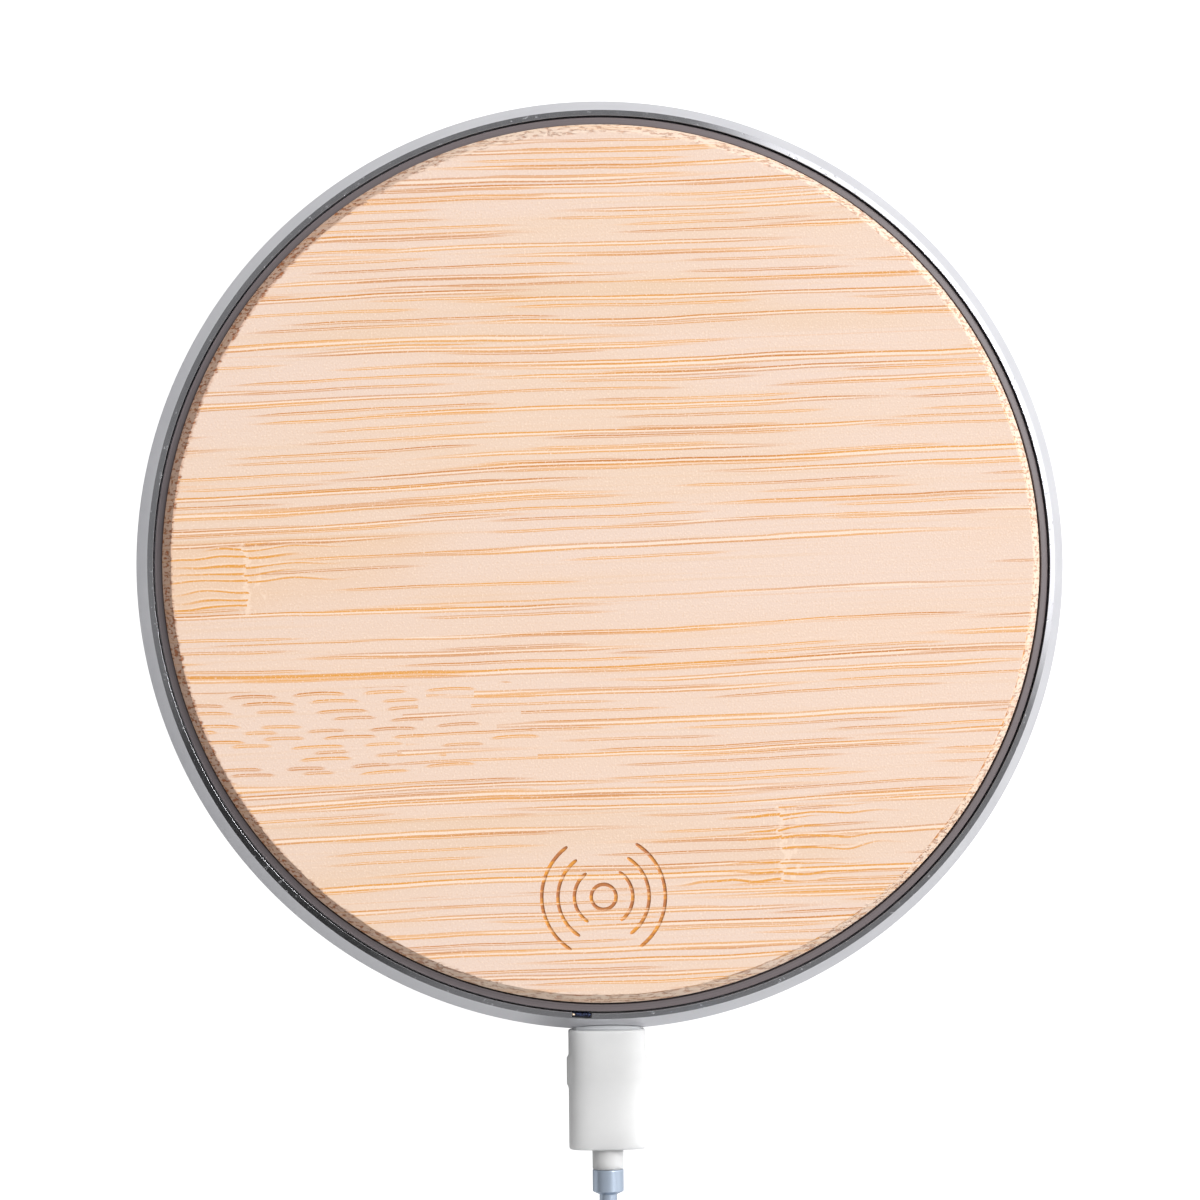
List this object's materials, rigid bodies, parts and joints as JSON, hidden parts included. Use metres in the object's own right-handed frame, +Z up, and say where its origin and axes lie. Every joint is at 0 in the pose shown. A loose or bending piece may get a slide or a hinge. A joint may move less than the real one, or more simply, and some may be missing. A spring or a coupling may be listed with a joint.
{
  "type": "wireless charging pad",
  "caption": "Round wireless charging pad: bamboo top in a dark tray, flared aluminium ring with polished bevel, plugged-in USB cable with its spare cord wound and tied.",
  "frame": {"origin": "centre of the pad, on the surface that its rubber foot stands on", "axes": "+Z up through the bamboo face; the USB port and the cable point along -Y; +X to the right seen from above"},
  "size_m": [0.1215, 0.1581, 0.0086],
  "materials": {
    "bamboo": "sanded bamboo with a matt clear oil",
    "film": "thin adhesive film",
    "dark_plastic": "fine moulded texture, dark brown-grey",
    "satin_aluminium": "satin anodised wall, polished bevel",
    "black_plastic": "fine moulded texture",
    "foot_rubber": "matt silicone rubber",
    "screw_steel": "plated",
    "copper_wire": "enamelled litz wire",
    "ferrite": "sintered, matt",
    "chip_black": "moulded epoxy",
    "board": "solder mask over glass epoxy",
    "ceramic": "ceramic chip",
    "lamp_body": "white lamp package",
    "lamp_lens": "smoked clear plastic",
    "tinned_metal": "nickel plated sheet",
    "white_plastic": "smooth semi-gloss",
    "blue_grey_plastic": "smooth plastic with a pearly sheen",
    "cord_jacket": "smooth extruded jacket with a pearly sheen",
    "tie_plastic": "plastic-covered wire tie"
  },
  "bodies": {
    "pad": {"bamboo_disc": "bamboo", "wood_adhesive": "film", "top_housing": "dark_plastic", "case_ring": "satin_aluminium", "bottom_cover": "black_plastic", "rubber_foot": "foot_rubber", "cover_screw_1": "screw_steel", "cover_screw_2": "screw_steel", "cover_screw_3": "screw_steel", "cover_screw_4": "screw_steel", "coil_adhesive": "film", "transmit_coil": "copper_wire", "ferrite_sheet": "ferrite", "thermistor": "chip_black", "coil_lead_start": "copper_wire", "coil_lead_end": "copper_wire", "circuit_board": "board", "board_screw_1": "screw_steel", "board_screw_2": "screw_steel", "controller_chip": "chip_black", "bridge_transistor_1": "chip_black", "bridge_transistor_2": "chip_black", "input_inductor": "ferrite", "resonant_capacitor_1": "ceramic", "resonant_capacitor_2": "ceramic", "resonant_capacitor_3": "ceramic", "resonant_capacitor_4": "ceramic", "input_capacitor_1": "ceramic", "input_capacitor_2": "ceramic", "status_lamp": "lamp_body", "usb_socket_shell": "tinned_metal", "usb_socket_tongue": "black_plastic", "light_pipe": "lamp_lens"},
    "cable": {"plug_shell": "tinned_metal", "plug_insulator": "black_plastic", "plug_overmould": "white_plastic", "plug_strain_relief": "blue_grey_plastic", "cord": "cord_jacket", "cord_tail": "cord_jacket", "cord_coil": "cord_jacket", "cord_tie": "tie_plastic", "usb_a_strain_relief": "blue_grey_plastic", "usb_a_overmould": "white_plastic", "usb_a_shell": "tinned_metal", "usb_a_insulator": "black_plastic"}
  },
  "joints": [
    {"name": "cable_unplug", "type": "slide", "parent": "pad", "child": "cable", "axis": [0, -1, 0], "range_m": [0, 0.012]}
  ]
}
